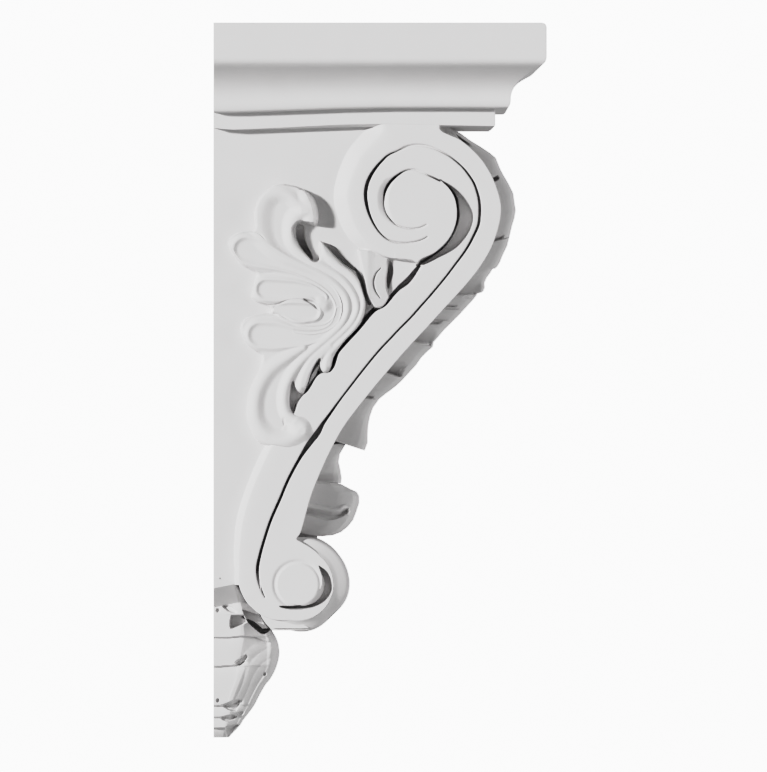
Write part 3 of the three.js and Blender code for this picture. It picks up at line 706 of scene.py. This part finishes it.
def prism(name, outline, low, high):
    """Straight prism across the piece over an outline of (out, up)."""
    size = len(outline)
    place = np.vstack([np.column_stack([np.full(size, x), outline]) for x in (low, high)])
    i = np.arange(size)
    j = np.roll(i, -1)
    sides = np.column_stack([i, j, j + size, i + size])
    faces = [list(f) for f in sides] + [list(i[::-1]), list(i + size)]
    after = np.roll(outline, -1, axis=0)
    if np.sum(outline[:, 0] * after[:, 1] - after[:, 0] * outline[:, 1]) > 0:
        faces = [f[::-1] for f in faces]
    return mesh_object(name, place * (MM, -MM, MM), faces)


def joined(base, other, operation):
    """base with the boolean of other worked in; other is removed."""
    step = base.modifiers.new("join", "BOOLEAN")
    step.object = other
    step.operation = operation
    step.solver = "MANIFOLD"
    graph = bpy.context.evaluated_depsgraph_get()
    mesh = bpy.data.meshes.new_from_object(base.evaluated_get(graph))
    base.modifiers.clear()
    old = base.data
    base.data = mesh
    bpy.data.meshes.remove(old)
    bpy.data.meshes.remove(other.data)
    return base


def side_slab():
    """Slab from just behind the plane of symmetry to the carved side surface."""
    field = side_height()
    height = field.height
    out, down = np.meshgrid(field.out_axis, field.down_axis)
    rows, cols = height.shape
    place = np.stack([height, out * UNIT, CROWN_UNDER - down * UNIT], axis=2).reshape(-1, 3)
    index = np.arange(rows * cols).reshape(rows, cols)
    rim = np.concatenate([index[0, :-1], index[:-1, -1], index[-1, :0:-1], index[:0:-1, 0]])
    under = place[rim] * (0, 1, 1) + (BEHIND, 0, 0)
    low = rows * cols + np.arange(len(rim))
    nxt, low_nxt = np.roll(rim, -1), np.roll(low, -1)
    centre = np.full(len(rim), rows * cols + len(rim))
    faces = np.vstack([
        pairs(index[:-1, :-1], index[:-1, 1:], index[1:, 1:], index[1:, :-1]),
        pairs(nxt, rim, low, low_nxt), np.column_stack([low_nxt, low, centre]),
    ])
    return solid("side slab", np.vstack([place, under, under.mean(axis=0)]), faces)


def crown_profile():
    """Rows of (reach beyond the fillet, up from the crown's underside), in mm.

    The bead is a quarter ellipse drawn fuller, with reach as a power of the sine, and in the
    cove reach is a power of the height.
    """
    start = BEAD_STEP + BEAD_REACH
    under = BEAD_TOP + COVE_HEIGHT
    lip = start + COVE_REACH
    face = lip + FASCIA_REACH
    t = np.radians(np.linspace(0, 90, 17))
    s = np.linspace(0, 1, 21)[1:]
    return np.vstack([
        [(-1.2, 0), (-0.3, 0.3), (0, 1.2), (0, FILLET_HEIGHT - 0.4), (0.4, FILLET_HEIGHT)],
        np.column_stack([
            BEAD_STEP + BEAD_REACH * np.sin(t) ** BEAD_POWER,
            FILLET_HEIGHT + BEAD_HEIGHT * (1 - np.cos(t)),
        ]),
        np.column_stack([start + COVE_REACH * s ** COVE_POWER, BEAD_TOP + COVE_HEIGHT * s]),
        [(lip + 2.2, under + 1.7), (lip + 3.6, under + 3.2), (face - 0.3, under + 5.2)],
        [(face, under + FASCIA_LIP), (face, CROWN_HEIGHT - 4), (face, CROWN_HEIGHT - 2.4)],
        [(face, CROWN_HEIGHT - 1.3), (face - 0.2, CROWN_HEIGHT - 0.5), (face - 0.9, CROWN_HEIGHT)],
    ])


def crown():
    """Crown moulding: its profile carried along the side and round a rounded corner.

    Its lower lines bow a little, as cast: each level moves up by the bows of the fillet's foot
    and head at that place, blended by height and gone at the cove's top.
    """
    corner = np.radians(np.linspace(0, 90, 5))
    along = np.linspace(0, 1, 25)
    place, foot_bow, head_bow = np.array(CROWN_BOW).T
    rings = []
    for reach, up in crown_profile():
        half = SCROLL_HALF + reach
        over = np.clip(up - CROWN_HEIGHT + TOP_ROUND, 0, TOP_ROUND)
        rounded = CROWN_REACH - TOP_ROUND + np.sqrt(TOP_ROUND ** 2 - over ** 2)
        depth = FILLET_DEPTH + min(reach, rounded)
        straight = depth - CROWN_ROUND
        x = np.concatenate([
            [BEHIND], np.full(len(along), half), half - CROWN_ROUND * (1 - np.cos(corner)), [BEHIND],
        ])
        out = np.concatenate([
            [BEHIND], BEHIND + (straight - BEHIND) * along,
            depth - CROWN_ROUND * (1 - np.sin(corner)), [depth],
        ])
        foot_share = np.interp(up, [0, FILLET_HEIGHT], [1, 0])
        bow = foot_share * np.interp(out, place, foot_bow)
        levels = [0, FILLET_HEIGHT, BEAD_TOP, BEAD_TOP + COVE_HEIGHT]
        bow = bow + np.interp(up, levels, [0, 1, 0.8, 0]) * np.interp(out, place, head_bow)
        rings.append(np.column_stack([x, out, CROWN_UNDER + up + bow * (x > 0)]))
    return loft("crown", rings)


def roll():
    """Barrel at the foot of the scroll, eccentric to the volute's face.

    Beyond the face its end falls in a soft cone to a rounded rim. Low at the front its radius
    is a little smaller. The hollow beside the button is cut through it.
    """
    end = SCROLL_HALF - 0.3
    a = np.linspace(0, 2 * np.pi, 140, endpoint=False)
    low = np.exp(-((np.degrees(a) - DENT_ANGLE) / DENT_WIDTH) ** 2)
    rings = []
    for part, fall in [(1, end - BEHIND)] + ROLL_RINGS:
        centre = np.add(FOOT_CENTRE, part * np.subtract(ROLL_CENTRE, FOOT_CENTRE))
        radius = FOOT_RADIUS + part * (ROLL_RADIUS - FOOT_RADIUS - ROLL_DENT * low)
        out, up = at(centre + radius[:, None] * np.column_stack([np.cos(a), np.sin(a)])).T
        steep = 1 + 0.6 * low * (0 < part < 1)
        rings.append(np.column_stack([end - fall * steep, out, up]))
    outline = at(smooth(FOOT_HOLLOW + FOOT_HOLLOW[:1], 6)[:-1])
    hollow = prism("foot hollow", outline, HOLLOW_FLOOR, HOLLOW_TOP)
    return joined(loft("roll", rings), hollow, "DIFFERENCE")


def neck():
    """Flat-bottomed block that joins the roll to the pendant, its lower edge eased."""
    lower = np.array(NECK, float)
    lower[:, 1] += NECK_EASE * (lower[:, 1] > 815)
    foot = prism("neck foot", at(lower), BEHIND, NECK_HALF - 3)
    return joined(prism("neck", at(NECK), BEHIND, NECK_HALF), foot, "UNION")


def scoops(o, d):
    """Depth of the scoops at the ends of the front leaf's side lobes.

    Each deepens down the leaf towards its end line, stops there in a sharp step, and fades at
    both ends of the line.
    """
    total = np.zeros(o.shape)
    for start, end, length, depth in SCOOPS:
        size = np.hypot(*np.subtract(end, start))
        along = np.subtract(end, start) / size
        u = ((o - start[0]) * along[0] + (d - start[1]) * along[1]) / size
        t = (o - start[0]) * along[1] - (d - start[1]) * along[0]
        reach = ease((u + 0.6) / 0.5) * ease((1.5 - u) / 0.5)
        total = np.maximum(total, depth * reach * ease((t + 1) / 1.6) * ease(1 - t / length))
    for points in SLOTS:
        total = np.maximum(total, cut(o, d, points))
    return total


def curl_relief(o, d):
    """How far the curl's side stands in: a raised lip and the groove under it."""
    far, half = nearest(o, d, smooth(CURL_LIP, 6))
    depth = 2.4 - 2.6 * dome(far, half * 1.3)
    far, half = nearest(o, d, smooth(CURL_GROOVE, 6))
    return depth + 5 * dome(far, half * 1.3)


def tier(name, root, crest, halves, stations, side_relief=None, edge=0.3):
    """One tier of the front leaf, between its root line and its crest line.

    Across, from the middle out, it has a midrib, a dip, a raised margin and a fall to the
    root. Along, the half width tucks in at the end of each side lobe.
    """
    root, crest = by_length(smooth(root, 6), stations), by_length(crest, stations)
    v = np.linspace(0, 1, 48)
    share = np.interp(v, *zip(*TIER_SECTION, (1, edge)))
    half = np.linspace(*halves, stations)[:, None] * np.ones(len(v))
    ends = np.array(sorted(s[0][1] for s in SCOOPS), float)
    low = np.concatenate([[root[0, 1] - 20], ends])
    slot = np.searchsorted(ends, root[:, 1])
    high = np.append(ends, ends[-1] + 60)[slot]
    phase = (root[:, 1] - low[slot]) / (high - low[slot])
    half = half * (1 - 0.07 * phase[:, None] ** 3 * v)
    o = root[:, None, 0] + (crest - root)[:, None, 0] * share
    d = root[:, None, 1] + (crest - root)[:, None, 1] * share
    x = half * v
    if side_relief is not None:
        x = x - side_relief(o, d) * ease((v - 0.25) / 0.35)
    under = root - (crest - root) * 0.5
    o = np.column_stack([o[:, 0], o, under[:, 0], under[:, 0]])
    d = np.column_stack([d[:, 0], d, under[:, 1], under[:, 1]])
    x = np.column_stack([np.full(stations, BEHIND), x, x[:, -1], np.full(stations, BEHIND)])
    return loft(name, np.stack([x, o * UNIT, CROWN_UNDER - d * UNIT], axis=2))


def pendant():
    """Pendant under the roll: flat sides and an arched front, in tiers, narrowing to the tip.

    Each level is a flat run, a facet that turns in, then a quarter ellipse to the middle.
    Lips, sweeps, sunk flats, recess and slit move it across, and the two shaded planes under
    the volute are cut back to their own levels.
    """
    levels, flat_steps = 280, 50
    depth = by_length(smooth(PENDANT_DEPTH, 6), levels)
    down = np.maximum.accumulate(depth[:, 1])
    reach = np.maximum(depth[:, 0], 12)[:, None]
    flat = np.minimum(np.interp(down, *zip(*PENDANT_FLAT))[:, None], reach * 0.8)
    a = np.radians(np.linspace(0, 90, 90))
    run = np.linspace(-0.1, 1, flat_steps, endpoint=False)
    o = np.hstack([flat * run, flat + (reach - flat) * np.sin(a)])
    past = np.clip(np.sin(a) - FACET_END, 0, None) / (1 - FACET_END)
    across = np.interp(np.sin(a), [0, 0.12, FACET_END, 1], [1, 0.98, FACET_HALF, FACET_HALF])
    across = across * np.sqrt(np.clip(1 - past ** 2, 0, 1))
    d = down[:, None] * np.ones(o.shape[1])
    tilt = np.where(d < 800, 0.2 * (o - 4), 0)
    x = np.interp(d + tilt, *zip(*PENDANT_HALF)) * np.hstack([np.ones(flat_steps), across])
    facing = np.hstack([np.ones(flat_steps), np.cos(a) ** 0.5])
    move = np.zeros(o.shape)
    for points in PENDANT_SWEEPS:
        far, half, rise = nearest(o, d, smooth(points, 6))
        move = np.maximum(move, dome(far, half) * rise)
    for lip in PENDANT_TIERS:
        below = d - np.interp(o, *zip(*lip))
        under = ease((lip[-1][0] + 8 - o) / 10)
        move = move - LIP_DEPTH * under * np.where(below > 0, np.exp(-below / 9), 0) * ease(below / 2.2)
    far, half = nearest(o, d, smooth(SLIT, 6))
    move = move - SLIT_DEPTH * ease((half + 1 - far) / 2)
    for out, level, radius in SPOTS:
        move = move - SPOT_DEPTH * ease((radius + 1 - np.hypot(o - out, d - level)) / 2)
    for outline, sunk in [(RECESS, RECESS_DEPTH)] + [(sink, SINK_DEPTH) for sink in SINKS]:
        move = move - sunk * ease((depth_inside(o, d, outline, 2) + 1) / 2)
    x = np.maximum(x + move * facing, 0.2 * x)
    for outline, level in ((BAND, BAND_LEVEL), (WEDGE, WEDGE_LEVEL)):
        x = np.where(depth_inside(o, d, outline, 2) > 0, np.minimum(x, level), x)
    x[:, -1] = 0
    back = np.full((levels, 1), BEHIND)
    rings_o = np.hstack([o[:, :1], o, o[:, -1:]]) * UNIT
    rings_up = CROWN_UNDER - np.hstack([d[:, :1], d, d[:, -1:]]) * UNIT
    return loft("pendant", np.stack([np.hstack([back, x, back]), rings_o, rings_up], axis=2))


def casting():
    """The whole casting: half of it joined from its forms, cut to its bounds, and mirrored."""
    plank = prism("plank outline", at(plank_outline()[:, :2]), BEHIND - 1, TRIM_TOP)
    body = prism("body outline", at(BODY_OUTLINE), BEHIND - 1, TRIM_TOP)
    half = joined(side_slab(), joined(plank, body, "UNION"), "INTERSECT")
    width = FRONT_LEAF_HALF
    for part in (
        roll(), neck(), pendant(),
        tier("leaf", LEAF_ROOT, LEAF_CREST, (width * 0.9, width), 320, scoops),
        tier("leaf tip", TIP_ROOT, TIP_CREST, (width * 0.8, width * 0.7), 70, scoops),
        tier("curl", CURL_ROOT, CURL_CREST, (width * 0.85, width * 0.9), 90, curl_relief, 0.5),
        crown(), prism("web", at(WEB), BEHIND, WEB_HALF),
    ):
        half = joined(half, part, "UNION")
    end = HEIGHT / 2
    bounds = np.array([(0, -end), (FULL_DEPTH, -end), (FULL_DEPTH, end), (0, end)])
    half = joined(half, prism("limit", bounds, 0, SCROLL_HALF + CROWN_REACH), "INTERSECT")
    return mirrored(half)


def thinned(thing, triangles):
    """Points and triangles of the object's mesh, decimated to about a number of triangles."""
    count = sum(len(p.vertices) - 2 for p in thing.data.polygons)
    thin = thing.modifiers.new("thin", "DECIMATE")
    thin.ratio = min(1.0, triangles / count)
    mesh = bpy.data.meshes.new_from_object(thing.evaluated_get(bpy.context.evaluated_depsgraph_get()))
    place = np.empty(len(mesh.vertices) * 3)
    mesh.vertices.foreach_get("co", place)
    mesh.calc_loop_triangles()
    faces = np.empty(len(mesh.loop_triangles) * 3, int)
    mesh.loop_triangles.foreach_get("vertices", faces)
    return place.reshape(-1, 3), faces.reshape(-1, 3)


def mirrored(half):
    """The piece from its half: thinned, opened on the plane of symmetry, and doubled across it."""
    place, faces = thinned(half, PIECE_TRIANGLES / 2)
    bpy.data.objects.remove(half)
    end = HEIGHT / 2 * MM
    place = np.clip(place, (-MM, -FULL_DEPTH * MM, -end), (1, 0, end))
    place[np.abs(place[:, 0]) < SEAM, 0] = 0
    on_plane = place[:, 0] == 0
    faces = faces[~on_plane[faces].all(axis=1)]
    count = len(place)
    twin = np.where(on_plane, np.arange(count), np.arange(count) + count)
    both = np.vstack([place, place * (-1, 1, 1)])
    faces = np.vstack([faces, twin[faces][:, ::-1]])
    used = np.zeros(len(both), bool)
    used[faces.ravel()] = True
    number = np.cumsum(used) - 1
    piece = mesh_object("corbel_casting", both[used], number[faces])
    piece.data.validate()
    piece.data.shade_smooth()
    piece.data.set_sharp_from_angle(angle=math.radians(SHARP_ANGLE))
    even_light = piece.modifiers.new("flat faces lead", "WEIGHTED_NORMAL")
    even_light.keep_sharp = True
    return piece


def linear(hex_colour):
    """Linear colour of an sRGB hex string: below 0.04045 a twelfth, above by the 2.4 power law."""
    c = np.array([int(hex_colour[i:i + 2], 16) / 255 for i in (1, 3, 5)])
    c = np.where(c <= 0.04045, c / 12.92, ((c + 0.055) / 1.055) ** 2.4)
    return (*c, 1.0)


def node(tree, kind, settings=None, **links):
    """Adds a shader node; settings go by input name or property, links by input name."""
    made = tree.nodes.new(kind)
    for key, value in (settings or {}).items():
        if key in made.inputs:
            made.inputs[key].default_value = value
        else:
            setattr(made, key, value)
    for key, source in links.items():
        tree.links.new(source, made.inputs[key.replace("_", " ")])
    return made


def primed_urethane():
    """Factory-primed urethane foam: a matt, slightly warm white skin with a faint cast texture."""
    material = bpy.data.materials.new("primed_urethane")
    material.use_nodes = True
    tree = material.node_tree
    tree.nodes.clear()
    place = node(tree, "ShaderNodeTexCoord").outputs["Object"]
    grain = node(tree, "ShaderNodeTexNoise", {"Scale": 1 / (1.6 * MM), "Detail": 3.0}, Vector=place)
    wave = node(tree, "ShaderNodeTexNoise", {"Scale": 1 / (30 * MM), "Detail": 2.0}, Vector=place)
    tint = node(tree, "ShaderNodeMix", {"data_type": "RGBA"}, Factor=wave.outputs["Fac"])
    tint.inputs[6].default_value = linear("#D6D5D5")
    tint.inputs[7].default_value = linear("#DBDADA")
    relief = {"Strength": 0.12, "Distance": 0.4 * MM}
    bump = node(tree, "ShaderNodeBump", relief, Height=grain.outputs["Fac"])
    skin = node(tree, "ShaderNodeBsdfPrincipled", {"Roughness": 0.62, "Specular IOR Level": 0.3},
                Base_Color=tint.outputs[2], Normal=bump.outputs[0])
    node(tree, "ShaderNodeOutputMaterial", Surface=skin.outputs[0])
    return material


def tone_curve():
    """The photograph's soft highlights: light tones are pressed together, as film does."""
    view = bpy.context.scene.view_settings
    view.view_transform = "Standard"
    view.use_curve_mapping = True
    tone = view.curve_mapping
    tone.clip_max_x = tone.clip_max_y = 4.0
    curve = tone.curves[3]
    curve.points[-1].location = TONE_END
    for light, shown in TONE_POINTS:
        curve.points.new(light, shown)
    tone.update()


def surround():
    """Even light from all round, which the camera sees as near white behind the piece."""
    world = bpy.data.worlds.new("studio")
    world.use_nodes = True
    tree = world.node_tree
    tree.nodes.clear()
    mix = node(tree, "ShaderNodeMixShader")
    tree.links.new(node(tree, "ShaderNodeLightPath").outputs["Is Camera Ray"], mix.inputs[0])
    for slot, strength in ((1, WORLD_LIGHT), (2, WORLD_SEEN)):
        light = node(tree, "ShaderNodeBackground", {"Color": (1, 1, 1, 1), "Strength": strength})
        tree.links.new(light.outputs[0], mix.inputs[slot])
    node(tree, "ShaderNodeOutputWorld", Surface=mix.outputs[0])
    bpy.context.scene.world = world


def lamps():
    """Key light from the wall's side and a little above, and a broad fill from the front."""
    for name, travel, energy, size in LAMPS:
        lamp = bpy.data.objects.new(name, bpy.data.lights.new(name, "SUN"))
        lamp.data.energy = energy
        lamp.data.angle = math.radians(size)
        lamp.rotation_euler = Vector(travel).to_track_quat("-Z", "Y").to_euler()
        bpy.context.scene.collection.objects.link(lamp)


def floor():
    """Plain round paper floor, well below the piece."""
    turn = np.radians(np.arange(96) * 360 / 96)
    level = np.full(96, FLOOR_LEVEL)
    rim = np.column_stack([FLOOR_RADIUS * np.cos(turn), FLOOR_RADIUS * np.sin(turn), level])
    made = mesh_object("floor", rim, [list(range(96))])
    paper = bpy.data.materials.new("backdrop_paper")
    paper.use_nodes = True
    shader = paper.node_tree.nodes["Principled BSDF"]
    shader.inputs["Base Color"].default_value = linear("#ECECEC")
    shader.inputs["Roughness"].default_value = 0.8
    made.data.materials.append(paper)


def camera():
    """Camera square on to the piece's side, level with its middle, shifted to frame it."""
    made = bpy.data.objects.new("camera", bpy.data.cameras.new("camera"))
    made.data.sensor_fit = "HORIZONTAL"
    made.data.sensor_width = 36.0
    made.data.lens = LENS
    made.data.clip_end = 50.0
    made.data.shift_x = (IMAGE_WIDTH / 2 - WALL_PX) / IMAGE_WIDTH
    made.location = CAMERA_PLACE
    made.rotation_euler = (math.radians(90), 0, math.radians(-90))
    bpy.context.scene.collection.objects.link(made)
    bpy.context.scene.camera = made


piece = casting()
piece.data.materials.append(primed_urethane())
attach(piece, "root")
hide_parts("corbel")
tone_curve()
surround()
lamps()
floor()
camera()
